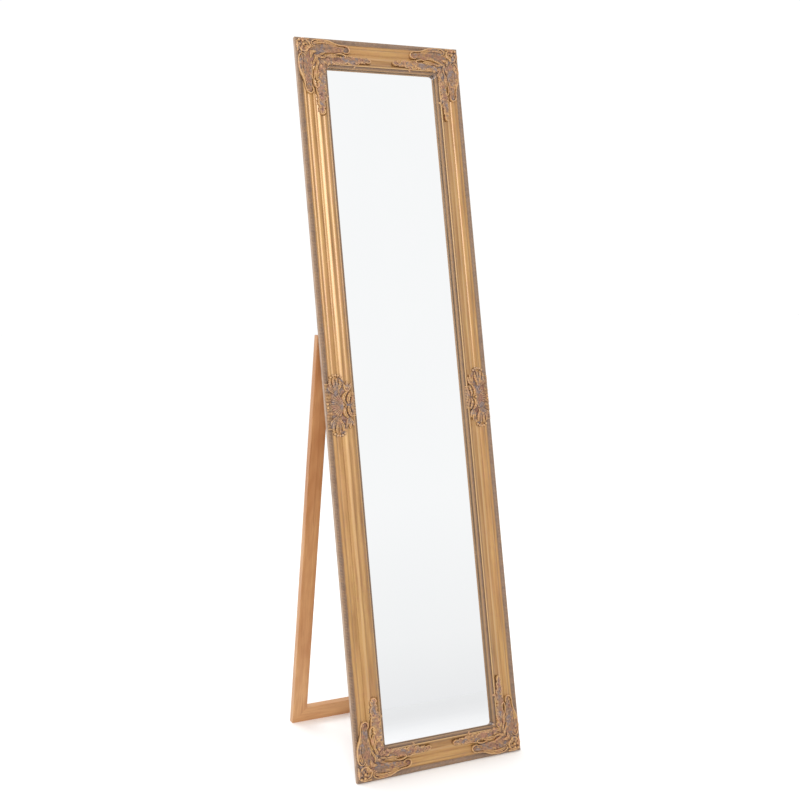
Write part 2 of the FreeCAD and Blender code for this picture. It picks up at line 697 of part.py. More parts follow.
def stand_leaf(side, middle):
    """In stand coordinates, on the leg's front. The heel leans forward by the angle between the two
    leaves, so that at rest it lies along the frame leaf."""
    low = middle - leaf_width / 2
    name = f"{side}_stand_leaf"
    pin_height = STAND_LENGTH + PIN_ABOVE_LEG
    length = number("leaf_length")
    plate = bound_box(f"{name}_plate", "hinge_width", "leaf_thickness", LEAF_PLATE,
                      turn(Y_AXIS, 0, V(low, -leaf, pin_height - length)))
    start = low + segment
    parts = [plate]
    parts.append(bound_cylinder(f"{name}_knuckle", "knuckle_radius", SEGMENT,
                                along_x(start, PIN_BEHIND_FACE, pin_height)))
    parts.append(bound_box(f"{name}_neck", SEGMENT, "leaf_thickness", NECK_LENGTH,
                           turn(Y_AXIS, 0, V(start, -leaf, pin_height - number(NECK_LENGTH)))))
    pin = V(start, PIN_BEHIND_FACE, pin_height)
    opening = FRAME_LEAN + STAND_LEAN
    heel_front = number("leaf_thickness + stop_gap - knuckle_radius")
    lean_back = FreeCAD.Placement(pin, FreeCAD.Rotation(X_AXIS, -opening))
    offset = FreeCAD.Placement(V(0, heel_front, number("pin_radius + knuckle_clear")), FreeCAD.Rotation())
    parts.append(bound_box(f"{name}_heel", SEGMENT, "leaf_thickness", HEEL_LENGTH,
                           lean_back.multiply(offset)))
    bore = bound_cylinder(f"{name}_bore", "pin_radius + pin_play", "hinge_width * 2",
                          along_x(low - leaf_width / 2, PIN_BEHIND_FACE, pin_height))
    spots = [(middle, -leaf, pin_height - reach) for reach in SCREW_SPOTS]
    holes = [screw_hole(f"{name}_hole{n}", spot, 1) for n, spot in enumerate(spots)]
    keep(cut(name, fused(f"{name}_blank", parts), [bore] + holes), name, stand_place)
    return [screw(f"{name}_screw{n}", spot, 1) for n, spot in enumerate(spots)]


frame_screws = []
stand_screws = []
for side, sign in (("left", -1), ("right", 1)):
    middle = sign * number("hinge_across")
    frame_screws += frame_leaf(side, middle)
    stand_screws += stand_leaf(side, middle)
    pin = bound_cylinder(f"{side}_hinge_pin", "pin_radius", "hinge_width",
                         along_x(middle - leaf_width / 2, HINGE_DEPTH, HINGE_HEIGHT))
    keep(pin, f"{side}_hinge_pin", mirror_place, pin.Placement)
group("frame_leaf_screws", frame_screws, mirror_place)
group("stand_leaf_screws", stand_screws, stand_place)


# Everything is drawn. Measure the footprint, put the row's origin in its middle, and write the pieces.

def put_in_row(shift):
    for item, place, local in nodes:
        item.Placement = place(shift).multiply(local)
    doc.recompute()


def check_states():
    for item in doc.Objects:
        state = set(item.State)
        if state & {"Invalid", "Error"}:
            raise RuntimeError(f"{item.Label} did not compute: {sorted(state)}")
    for item, _, _ in nodes:
        if item.Shape.isNull() or not item.Shape.isValid() or not item.Shape.Solids:
            raise RuntimeError(f"{item.Label} has no valid shape")


doc.recompute()
put_in_row(0)
check_states()
extent = FreeCAD.BoundBox()
for item, _, _ in nodes:
    extent.add(item.Shape.optimalBoundingBox(False, False))
SHIFT = -(extent.YMin + extent.YMax) / 2
put_in_row(SHIFT)
check_states()

os.makedirs("parts", exist_ok=True)
for item, _, _ in nodes:
    item.Shape.exportStep(f"parts/{item.Label}.step")
    print(f"{item.Label}: {len(item.Shape.Solids)} solids, {item.Shape.Volume / 1000:.2f} cm3")

hinge_axis = row_point(0, HINGE_DEPTH, HINGE_HEIGHT, SHIFT)
print(f"footprint Y {extent.YMin + SHIFT:.2f} to {extent.YMax + SHIFT:.2f}")
print(f"height Z {extent.ZMin:.3f} to {extent.ZMax:.2f}")
print(f"hinge axis Y {hinge_axis.y:.3f}, Z {hinge_axis.z:.3f}")
print(f"shift {SHIFT:.3f}, leg {STAND_LENGTH:.2f}, foot Y {FOOT_BACK + SHIFT:.3f}")
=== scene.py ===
import math

import bmesh
import bpy
import numpy as np
from mathutils import Matrix, Vector


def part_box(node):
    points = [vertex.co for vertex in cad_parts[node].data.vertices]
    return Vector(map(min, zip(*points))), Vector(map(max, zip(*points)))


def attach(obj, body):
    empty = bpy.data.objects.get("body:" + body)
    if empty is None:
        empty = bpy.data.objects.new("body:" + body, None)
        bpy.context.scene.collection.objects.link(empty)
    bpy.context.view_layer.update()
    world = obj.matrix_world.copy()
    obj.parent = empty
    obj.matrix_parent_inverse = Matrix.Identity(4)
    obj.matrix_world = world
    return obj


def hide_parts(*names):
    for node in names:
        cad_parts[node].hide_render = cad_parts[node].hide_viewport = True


# Leaning floor mirror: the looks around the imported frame.
#
# Gilt pieces are built in mirror coordinates, in millimetres: X across from the middle, Y depth behind
# the front of the outer bead, Z up the frame from its bottom edge. MIRROR puts them in the row frame.

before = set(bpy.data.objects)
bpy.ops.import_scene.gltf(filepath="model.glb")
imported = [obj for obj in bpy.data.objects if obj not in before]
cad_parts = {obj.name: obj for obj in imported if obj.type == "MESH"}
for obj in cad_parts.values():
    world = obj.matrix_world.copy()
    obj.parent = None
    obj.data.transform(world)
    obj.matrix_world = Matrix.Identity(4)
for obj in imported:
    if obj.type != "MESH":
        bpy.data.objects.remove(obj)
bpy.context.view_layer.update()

MM = 0.001
WIDTH, HEIGHT = 400.0, 1600.0
LEAN = math.radians(11.4)
STAND_LEAN = math.radians(10.65)
RAIL = 66.0
BACK = 11.0
REBATE_WIDTH = 8.0
GLASS_FRONT, GLASS_EDGE = 3.5, 59.0

# The glass is the only piece whose lowest corner is known in both coordinates, so it places the mirror.
glass_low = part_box("mirror_glass")[0]
ORIGIN = Vector((0.0,
                 glass_low.y - MM * (GLASS_FRONT * math.cos(LEAN) + GLASS_EDGE * math.sin(LEAN)),
                 MM * BACK * math.sin(LEAN)))
MIRROR = Matrix.Translation(ORIGIN) @ Matrix.Rotation(-LEAN, 4, "X")


# Meshes

def piece(name, points, faces, materials, values):
    """A gilt piece from points in mirror coordinates. values are the numbers painted on its points."""
    mesh = bpy.data.meshes.new(name)
    mesh.from_pydata((np.asarray(points) * MM).tolist(), [], [list(face) for face in faces])
    for key, numbers in values.items():
        layer = mesh.attributes.new(key, "FLOAT", "POINT")
        layer.data.foreach_set("value", np.asarray(numbers, np.float32))
    for material in materials:
        mesh.materials.append(material)
    mesh.shade_smooth()
    obj = bpy.data.objects.new(name, mesh)
    bpy.context.scene.collection.objects.link(obj)
    obj.matrix_world = MIRROR
    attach(obj, "mirror_frame")
    return obj


def painted(wash, painted_shade_highlight, along, across):
    """The numbers that the gilt materials read: the wash, the painted shade and highlight, and the place on
    the moulding in metres.
    """
    return {"wash": wash, "painted_shade_highlight": painted_shade_highlight, "along": along * MM, "across": across * MM}


def grid_faces(rows, columns, flip, first=0):
    """Quads between the points of a grid that is stored row by row."""
    corner = first + np.arange(rows * columns).reshape(rows, columns)
    quads = np.stack([corner[:-1, :-1], corner[:-1, 1:], corner[1:, 1:], corner[1:, :-1]], -1)
    quads = quads.reshape(-1, 4)
    return quads[:, ::-1] if flip else quads


def weld(mesh):
    """Makes the points that fall together at the mitres one, which drops the faces without an area."""
    joined = bmesh.new()
    joined.from_mesh(mesh)
    bmesh.ops.remove_doubles(joined, verts=joined.verts, dist=0.001 * MM)
    joined.to_mesh(mesh)
    joined.free()


# Materials

class Shader:
    """A node material. Each call adds a node and returns its output."""

    def __init__(self, name):
        self.material = bpy.data.materials.new(name)
        self.material.use_nodes = True
        self.tree = self.material.node_tree
        self.surface = self.tree.nodes["Principled BSDF"]

    def feed(self, socket, value):
        if isinstance(value, bpy.types.NodeSocket):
            self.tree.links.new(value, socket)
        else:
            socket.default_value = value

    def add(self, kind, settings=None, inputs=None, output=0):
        node = self.tree.nodes.new("ShaderNode" + kind)
        for name, value in (settings or {}).items():
            setattr(node, name, value)
        for name, value in (inputs or {}).items():
            self.feed(node.inputs[name], value)
        return node.outputs[output]

    def finish(self, **inputs):
        for name, value in inputs.items():
            self.feed(self.surface.inputs[name.replace("_", " ")], value)
        return self.material

    def place(self, scale=(1, 1, 1), turn=(0, 0, 0)):
        """The place on the object, in metres."""
        spot = self.add("TexCoord", output=3)
        return self.add("Mapping", inputs={"Vector": spot, "Scale": scale, "Rotation": turn})

    def stretched(self, place, scale):
        return self.add("Mapping", inputs={"Vector": place, "Scale": scale})

    def height(self):
        return self.add("SeparateXYZ", inputs={"Vector": self.place()}, output=2)

    def value(self, name):
        """A number painted on the mesh."""
        return self.add("Attribute", {"attribute_name": name}, output=2)

    def noise(self, place, scale, detail, rough=0.5, warp=0.0):
        return self.add("TexNoise", inputs={"Vector": place, "Scale": scale, "Detail": detail,
                                            "Roughness": rough, "Distortion": warp})

    def math(self, operation, first, second):
        node = self.tree.nodes.new("ShaderNodeMath")
        node.operation = operation
        self.feed(node.inputs[0], first)
        self.feed(node.inputs[1], second)
        return node.outputs[0]

    def span(self, value, low, high, out_low=0.0, out_high=1.0):
        return self.add("MapRange", inputs={"Value": value, "From Min": low, "From Max": high,
                                            "To Min": out_low, "To Max": out_high})

    def mix(self, factor, first, second, blend="MIX"):
        node = self.tree.nodes.new("ShaderNodeMix")
        node.data_type = "RGBA"
        node.blend_type = blend
        self.feed(node.inputs[0], factor)
        self.feed(node.inputs[6], first)
        self.feed(node.inputs[7], second)
        return node.outputs[2]

    def ramp(self, factor, stops):
        node = self.tree.nodes.new("ShaderNodeValToRGB")
        self.feed(node.inputs[0], factor)
        while len(node.color_ramp.elements) < len(stops):
            node.color_ramp.elements.new(0.5)
        for element, (position, colour) in zip(node.color_ramp.elements, stops):
            element.position = position
            element.color = colour
        return node.outputs[0]

    def bump(self, height, distance, strength):
        return self.add("Bump", inputs={"Height": height, "Distance": distance, "Strength": strength})


def paint(red, green, blue):
    """A colour given as it looks on a screen, from 0 to 255, as the linear colour that nodes take."""
    linear = [((c / 255 + 0.055) / 1.055) ** 2.4 if c > 10.3 else c / 255 / 12.92 for c in (red, green, blue)]
    return (*linear, 1.0)


def tones(*stops):
    """The stops of a ramp from rows of (position, red, green, blue) as they look on a screen."""
    return [(position, paint(*colour)) for position, *colour in stops]


BEAD_TONES = tones((0.36, 134, 108, 88), (0.5, 150, 122, 98), (0.62, 158, 126, 98), (0.74, 140, 108, 84))
RELIEF_TONES = tones((0.38, 122, 106, 106), (0.45, 118, 92, 78), (0.52, 140, 104, 72), (0.6, 150, 102, 80),
                     (0.68, 102, 66, 50))


def gilt(name, lustre, age, wash_tones, worn_and_highlight):
    """Bronze-gold paint, worn back on the high places, which also carry painted highlight, with a wash of
    several tones left in the low ones, which also carry painted shade.

    wash and the painted shade and highlight are painted on the mesh; age is how much the warm ground breaks
    through the gold, and the last colour is that of the high places: worn gilt that also serves as painted
    highlight.
    """
    s = Shader(name)
    streak = s.add("CombineXYZ", inputs={"X": s.math("MULTIPLY", s.value("along"), 0.05),
                                         "Y": s.value("across")})
    cloud = s.noise(streak, 150.0, 4.0, 0.6)
    gold = s.ramp(cloud, tones((0.3, 146, 103, 52), (0.5, 172, 129, 72), (0.7, 189, 149, 90)))
    tone = s.noise(s.place(), 7.0, 3.0, 0.6)
    gold = s.mix(s.span(tone, 0.4, 0.7, 0.0, 0.45), gold, paint(180, 129, 80))
    patch = s.noise(s.place(), 85.0, 3.0, 0.6, 0.5)
    gold = s.mix(s.span(patch, 0.5, 0.66, 0.0, age), gold, paint(166, 108, 80))

    # where the wash lies: as painted, with a ragged edge and broad worn patches
    wash_tone = s.ramp(s.noise(s.place(), 62.0, 3.0, 0.6, 0.8), wash_tones)
    ragged = s.span(s.noise(s.place(), 300.0, 4.0, 0.7), 0.3, 0.7, -0.2, 0.2)
    worn = s.span(s.noise(s.place(), 38.0, 2.0, 0.5), 0.36, 0.64, -0.34 * age, 0.34 * age)
    edge = s.math("ADD", s.math("ADD", s.value("wash"), ragged), worn)
    wash = s.span(edge, 0.3, 0.7)
    colour = s.mix(wash, gold, wash_tone)

    # dark flecks, then painted shade in the hollows and painted highlight with wear on the high places
    grain = s.noise(s.place(), 800.0, 3.0, 0.65)
    fleck = s.math("MULTIPLY", s.span(grain, 0.58, 0.7), s.span(wash, 0.0, 1.0, 0.12, 0.5))
    colour = s.mix(fleck, colour, paint(98, 68, 46))
    painted_shade_highlight = s.value("painted_shade_highlight")
    # painted shade darkens the hollows; painted highlight, mixed with worn gilt, lightens the high places
    colour = s.mix(s.span(painted_shade_highlight, 0.05, 0.95, 0.0, 0.9), colour, paint(66, 42, 32))
    colour = s.mix(s.span(painted_shade_highlight, -0.12, -0.8, 0.0, 0.8 - 0.25 * age), colour, worn_and_highlight)

    rough = s.math("ADD", s.span(wash, 0.0, 1.0, 0.34, 0.6), s.span(cloud, 0.3, 0.7, -0.05, 0.06))
    relief = s.math("ADD", s.math("MULTIPLY", grain, 0.5), cloud)
    return s.finish(Base_Color=colour, Roughness=rough, Metallic=s.span(wash, 0.0, 1.0, lustre, 0.05),
                    Coat_Weight=0.4, Coat_Roughness=0.22, Normal=s.bump(relief, 0.00025, 0.5))


def wood(name, turn):
    """Stained light wood whose grain runs along the axis that turn brings upright, with painted shade that
    makes it darker higher up.
    """
    s = Shader(name)
    level = s.place(turn=turn)
    grain = s.noise(s.stretched(level, (70, 70, 2.6)), 1.0, 5.0, 0.6, 0.6)
    broad = s.noise(s.stretched(level, (22, 22, 1.1)), 1.0, 3.0, 0.5, 1.4)
    pores = s.noise(s.stretched(level, (900, 900, 22)), 1.0, 2.0, 0.7)
    blotch = s.noise(s.stretched(level, (14, 14, 4)), 1.0, 3.0, 0.6, 0.4)
    rings = s.math("ADD", s.math("MULTIPLY", grain, 0.6), s.math("MULTIPLY", broad, 0.4))
    colour = s.ramp(rings, tones((0.36, 172, 118, 72), (0.46, 204, 156, 106), (0.54, 190, 138, 90),
                                 (0.6, 200, 150, 100), (0.68, 156, 102, 60)))
    # blotches, plus painted shade that darkens the wood higher up
    blotch_and_shade = s.math("ADD", blotch, s.span(s.height(), 0.35, 0.85, 0.0, 0.14))
    colour = s.mix(s.span(blotch_and_shade, 0.44, 0.66, 0.0, 0.75), colour, paint(166, 106, 60))
    colour = s.mix(s.span(pores, 0.58, 0.72, 0.0, 0.45), colour, paint(126, 80, 46))
    relief = s.math("ADD", s.math("MULTIPLY", grain, 0.5), pores)
    return s.finish(Base_Color=colour, Roughness=s.span(grain, 0.3, 0.7, 0.42, 0.55), Coat_Weight=0.15,
                    Coat_Roughness=0.35, Normal=s.bump(relief, 0.0003, 0.4))


def moulding_back():
    """The lip, sides and back of the moulding: wood under a thin warm-grey sizing, tan where it is washed,
    with painted shade on the lip towards the glass.
    """
    s = Shader("moulding_back")
    along = s.value("along")
    run = s.add("CombineXYZ", inputs={"X": s.math("MULTIPLY", along, 0.04), "Y": s.value("across"),
                                      "Z": s.math("MULTIPLY", along, 0.02)})
    grain = s.noise(run, 500.0, 4.0, 0.6, 0.4)
    tone = s.noise(s.place(), 30.0, 4.0, 0.6)
    colour = s.ramp(grain, tones((0.35, 156, 130, 108), (0.55, 180, 154, 132), (0.7, 166, 138, 112)))
    colour = s.mix(s.span(tone, 0.4, 0.7, 0.0, 0.4), colour, paint(158, 134, 122))
    colour = s.mix(s.value("wash"), colour, paint(172, 134, 96))
    # painted shade on the lip, darkest at the glass
    colour = s.mix(s.value("painted_shade_highlight"), colour, paint(76, 58, 38))
    return s.finish(Base_Color=colour, Roughness=s.span(tone, 0.3, 0.7, 0.65, 0.8),
                    Normal=s.bump(grain, 0.0003, 0.4))


def silvered_glass():
    """A silvered sheet with the faintest haze where it has been wiped, and painted shade that darkens its
    reflection towards its foot.
    """
    s = Shader("silvered_glass")
    haze = s.noise(s.place((1, 1, 0.6)), 3.0, 4.0, 0.6)
    clear = s.ramp(haze, [(0.3, (0.89, 0.9, 0.905, 1)), (0.7, (0.905, 0.91, 0.91, 1))])
    # painted shade in the reflection, darker towards the foot
    painted_reflection_shade = s.ramp(s.span(s.height(), 0.0, 0.8), [(0.0, (0.83, 0.83, 0.84, 1)), (0.12, (0.86, 0.86, 0.87, 1)),
                                                 (0.35, (0.95, 0.95, 0.95, 1)), (0.7, (1, 1, 1, 1))])
    return s.finish(Base_Color=s.mix(1.0, clear, painted_reflection_shade, "MULTIPLY"), Metallic=1.0,
                    Roughness=s.span(haze, 0.35, 0.7, 0.004, 0.02))


def hardboard():
    """Pressed fibre board: short pale fibres in a brown sheet."""
    s = Shader("hardboard")
    fibre = s.noise(s.place((1, 1, 0.35)), 420.0, 3.0, 0.7, 0.8)
    tone = s.noise(s.place(), 6.0, 4.0, 0.6)
    colour = s.mix(s.span(fibre, 0.4, 0.62), paint(112, 78, 50), paint(150, 112, 76))
    colour = s.mix(s.span(tone, 0.35, 0.7, 0.0, 0.4), colour, paint(98, 66, 42))
    return s.finish(Base_Color=colour, Roughness=s.span(fibre, 0.3, 0.7, 0.62, 0.8),
                    Normal=s.bump(fibre, 0.0004, 0.5))


def metal(name, bright, dull, scale):
    """Plated metal, duller in soft blotches, with fine scratches."""
    s = Shader(name)
    blotch = s.noise(s.place(), scale, 4.0, 0.6)
    scratch = s.noise(s.place((1, 1, 0.05)), 2600.0, 2.0, 0.6)
    colour = s.mix(s.span(blotch, 0.4, 0.65), bright, dull)
    rough = s.math("ADD", s.span(blotch, 0.35, 0.7, 0.25, 0.45), s.span(scratch, 0.4, 0.7, -0.04, 0.06))
    return s.finish(Base_Color=colour, Metallic=1.0, Roughness=rough, Normal=s.bump(scratch, 0.00005, 0.4))


def dress(nodes, material):
    """Gives CAD nodes a material, keeping their meshes as they are."""
    for name in nodes:
        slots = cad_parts[name].data.materials
        slots.clear()
        slots.append(material)


UPRIGHT_GRAIN = (-STAND_LEAN, 0, 0)
CROSS_GRAIN = (0, math.pi / 2, 0)
dress(["left_leg", "right_leg"], wood("stand_wood_upright", UPRIGHT_GRAIN))
dress(["stand_top_rail", "stand_bottom_rail"], wood("stand_wood_across", CROSS_GRAIN))
dress(["mirror_glass"], silvered_glass())
dress(["backing_board"], hardboard())
dress(["glazing_points", "frame_v_nails", "stand_v_nails"],
      metal("zinc_plate", paint(196, 198, 200), paint(150, 152, 156), 300))
dress(["left_frame_leaf", "right_frame_leaf", "left_stand_leaf", "right_stand_leaf", "left_hinge_pin",
       "right_hinge_pin", "frame_leaf_screws", "stand_leaf_screws"],
      metal("brass_plate", paint(222, 188, 118), paint(176, 138, 78), 140))


# The moulding: one profile swept along four mitred sides

def arc(start, end, crown, count):
    """Points from start towards end along an arc; crown is its height towards the front."""
    start, end = np.array(start, float), np.array(end, float)
    chord = end - start
    normal = np.array([chord[1], -chord[0]]) / np.linalg.norm(chord)
    share = np.linspace(0, 1, count + 1)[:-1, None]
    return start + chord * share + normal * crown * 4 * share * (1 - share)


def run_of(corners):
    """A run of the profile: each corner is (across, depth, crown of the next arc, its number of steps)."""
    points = [arc(here[:2], there[:2], here[2], here[3]) for here, there in zip(corners, corners[1:])]
    return np.concatenate(points + [np.array([corners[-1][:2]], float)])


OUTER_BEAD = run_of([(0, 2, 2, 12), (8, 2, 0, 0)])
GOLD_BANDS = run_of([(8, 2, 0, 1), (10.4, 2.4, 1.7, 8), (18.4, 0, 2.0, 12), (31, 0, 0.2, 3),
                     (34, -1.6, 0, 1), (36.6, -1.6, 0.25, 6), (43.6, -4.2, -1.9, 14), (57.5, -10.2, 1.7, 8),
                     (61.2, -8.4, 0, 0)])
INNER_BEAD = run_of([(61.2, -8.4, 1, 8), (RAIL, -7, 0, 0)])
LIP = run_of([(RAIL, -7, 0, 8), (RAIL, GLASS_FRONT, 0, 0)])
REAR = run_of([(RAIL, GLASS_FRONT, 0, 1), (RAIL - REBATE_WIDTH, GLASS_FRONT, 0, 1),
               (RAIL - REBATE_WIDTH, BACK, 0, 2), (0, BACK, 0, 3), (0, 2, 0, 0)])
OUTER_RIB, INNER_RIB = 3.1, 2.5
OUTER_NOTCH, INNER_NOTCH = 0.8, 0.55
STATIONS_PER_RIB = 6
PLAIN_STATION = 40.0
CREASE_ANGLE = math.radians(50)

# How the paint lies across the front, as (across, amount): the wash in the beads and grooves, and the painted
# shade that makes them look deep, where less than nothing is a painted highlight on the worn gilt.
WASH_AT = [(0, 0.62), (7, 0.72), (8.5, 0.85), (10.4, 0.6), (11.6, 0.25), (13, 0.08), (17, 0.1), (18.4, 0.4),
           (20, 0.1), (29.5, 0.1), (31, 0.3), (32, 0.1), (34.5, 0.1), (35.4, 0.35), (37, 0.05), (42, 0.05),
           (44, 0.2), (47, 0.08), (54, 0.08), (57, 0.4), (59.4, 0.3), (60.2, 0.0), (60.9, 0.0), (61.2, 0.6),
           (63, 0.6), (66, 0.55)]
PAINTED_SHADE_HIGHLIGHT_AT = [(0, 0.1), (7, 0.15), (8.2, 0.55), (9.5, 0.1), (10.4, 0.35), (11.4, 0.0), (17, 0.05), (18.4, 0.4),
             (19.4, 0.14), (22, 0.06), (28.6, 0.0), (30.4, 0.25), (31.4, 0.0), (33.6, 0.0), (35.2, 0.4),
             (36.6, 0.0), (38, -0.28), (41.8, -0.3), (43, 0.0), (44.4, 0.38), (46.5, 0.22), (50, 0.16),
             (53, 0.12), (57, 0.4), (59.6, 0.2), (60.2, -0.6), (60.9, -0.6), (61.2, 0.7), (64, 0.32),
             (66, 0.12)]
# painted shade in the bottoms of the notches
NOTCH_PAINTED_SHADE = 0.95
# painted shade on the lip by depth, darkest at the glass
LIP_PAINTED_SHADE_AT = [(-7, 0.0), (-1, 0.1), (1, 0.7), (GLASS_FRONT, 1.0)]


def front_paint(points, valley):
    """Wash, and painted shade and highlight, on the front, by the distance across the profile, with painted
    shade down in the notches.
    """
    across = points[:, 0]
    return np.interp(across, *zip(*WASH_AT)), np.interp(across, *zip(*PAINTED_SHADE_HIGHLIGHT_AT)) + NOTCH_PAINTED_SHADE * valley


def lip_paint(points, valley):
    """The lip is washed all over, and painted shade darkens it towards the glass."""
    return np.ones(len(points)), np.interp(points[:, 1], *zip(*LIP_PAINTED_SHADE_AT))


def no_paint(points, valley):
    return np.zeros(len(points)), np.zeros(len(points))


# The runs of the profile: points, pitch and depth of the notches, how it is painted, material slot.
GILT_SLOT, BARE_SLOT = 0, 1
RUNS = [
    (OUTER_BEAD, OUTER_RIB, OUTER_NOTCH, front_paint, GILT_SLOT),
    (GOLD_BANDS, None, 0.0, front_paint, GILT_SLOT),
    (INNER_BEAD, INNER_RIB, INNER_NOTCH, front_paint, GILT_SLOT),
    (LIP, None, 0.0, lip_paint, BARE_SLOT),
    (REAR, None, 0.0, no_paint, BARE_SLOT),
]


def strip(profile, length, rib, notch):
    """One run of the profile swept along a side, cut off at the two mitres.

    Gives (across, depth, along) points and how far each lies down in a notch, as two grids.
    """
    station = rib / STATIONS_PER_RIB if rib else PLAIN_STATION
    along = np.linspace(0, length, int(round(length / station)) + 1)
    across = np.broadcast_to(profile[:, 0], (len(along), len(profile)))
    reach = np.clip(along[:, None], across, length - across)
    valley = np.zeros(across.shape)
    if rib:
        fading_ends = np.sin(np.pi * np.linspace(0, 1, len(profile))) ** 0.4
        valley = (1 - np.abs(np.sin(np.pi * reach / rib)) ** 0.7) * fading_ends
    depth = profile[:, 1] + notch * valley
    return np.stack([across, depth, reach], -1), valley


# The sides: CAD node, length, from (across, along) to (x, up), and whether the faces turn over.
SIDES = [
    ("left_stile", HEIGHT, lambda across, along: (across - WIDTH / 2, along), False),
    ("right_stile", HEIGHT, lambda across, along: (WIDTH / 2 - across, along), True),
    ("top_rail", WIDTH, lambda across, along: (along - WIDTH / 2, HEIGHT - across), False),
    ("bottom_rail", WIDTH, lambda across, along: (along - WIDTH / 2, across), True),
]


def moulding(node, length, plan, flip, materials):
    """One side of the frame, in the place of its CAD node."""
    points, faces, wash, painted_shade_highlight, slots = [], [], [], [], []
    first = 0
    for profile, rib, notch, paint_run, slot in RUNS:
        grid, valley = strip(profile, length, rib, notch)
        flat = grid.reshape(-1, 3)
        quads = grid_faces(*valley.shape, flip, first)
        run_wash, run_painted_shade_highlight = paint_run(flat, valley.reshape(-1))
        points.append(flat)
        faces.append(quads)
        wash.append(run_wash)
        painted_shade_highlight.append(run_painted_shade_highlight)
        slots.append(np.full(len(quads), slot, np.int32))
        first += len(flat)
    across, depth, along = np.concatenate(points).T
    x, up = plan(across, along)
    obj = piece(f"gilt_{node}", np.stack([x, depth, up], -1), np.concatenate(faces), materials,
                painted(np.concatenate(wash), np.concatenate(painted_shade_highlight), along, across))
    obj.data.polygons.foreach_set("material_index", np.concatenate(slots))
    weld(obj.data)
    obj.data.set_sharp_from_angle(angle=CREASE_ANGLE)
    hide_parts(node)


gilt_paint = gilt("gilt_paint", 0.26, 0.2, BEAD_TONES, paint(226, 196, 150))
bare_wood = moulding_back()
for side in SIDES:
    moulding(*side, (gilt_paint, bare_wood))


# Composition ornament: a height field over the moulding, made of strokes, leaves, ribs and seeds

RELIEF_PITCH = 0.55
RELIEF_GAIN = 1.3
RELIEF_FLOOR = -1.2
CORNER_REACH = 176.0
CARTOUCHE_HALF = 71.0
CARTOUCHE_DROP = 5.0
SIGHT_GAP = 0.3
SUNK = -4.0
FLANK = 2.6

# How far forward the moulding reaches under the ornaments, with its narrow grooves filled: (across, height).
FILLED = [(0, -1.6), (1.5, -0.4), (4, 0.2), (10, 0.4), (20, 1.2), (30, 1.8), (36, 3.2), (42, 4.4), (50, 7.2),
          (56, 9.6), (59, 10.4), (62, 9.4), (66, 7.2)]


def smooth_line(points, steps=10):
    """A Catmull-Rom curve through points, each a row of any numbers: a place, a half width, a height."""
    rows = np.array([points[0], *points, points[-1]], float)
    share = np.linspace(0, 1, steps, endpoint=False)[:, None]
    spans = []
    for a, b, c, d in zip(rows, rows[1:], rows[2:], rows[3:]):
        spans.append(0.5 * (2 * b + (c - a) * share + (2 * a - 5 * b + 4 * c - d) * share ** 2
                            + (3 * b - a - 3 * c + d) * share ** 3))
    return np.concatenate([*spans, rows[-1:]])


def nearest(u, v, line):
    """How each place lies to a line of (u, v, half width, height) points.

    Gives its distance, the distance with the sign of its side, the line's half width and height at the
    nearest point, and how far along the line that is.
    """
    best = np.full(u.shape, np.inf)
    side, width, high, travel = (np.zeros(u.shape) for _ in range(4))
    gone = 0.0
    for here, there in zip(line, line[1:]):
        step = there[:2] - here[:2]
        length = math.hypot(*step)
        if length == 0:
            continue
        share = np.clip(((u - here[0]) * step[0] + (v - here[1]) * step[1]) / length ** 2, 0, 1)
        du, dv = u - here[0] - share * step[0], v - here[1] - share * step[1]
        far = np.hypot(du, dv)
        near = far < best
        best = np.where(near, far, best)
        side = np.where(near, np.sign(step[0] * dv - step[1] * du) * far, side)
        width = np.where(near, here[2] + (there[2] - here[2]) * share, width)
        high = np.where(near, here[3] + (there[3] - here[3]) * share, high)
        travel = np.where(near, gone + share * length, travel)
        gone += length
    return best, side, width, high, travel


def stroke_crown(section, inside, side):
    """The height across a stroke, from its line to its edge, where inside reaches 1."""
    if section == "leaf":
        vein = 0.45 * np.exp(-(side / 0.55) ** 2)
        return np.clip(1 - inside ** 2, 0, 1) ** 0.7 * (1 - vein)
    if section == "flat":
        return np.clip((1 - inside) * 3.0, 0, 1) ** 0.5
    if section == "dished":
        return np.clip((1 - inside) * 4.0, 0, 1) ** 0.5 * (0.62 + 0.38 * inside ** 2)
    return np.sqrt(np.clip(1 - inside ** 2, 0, 1))


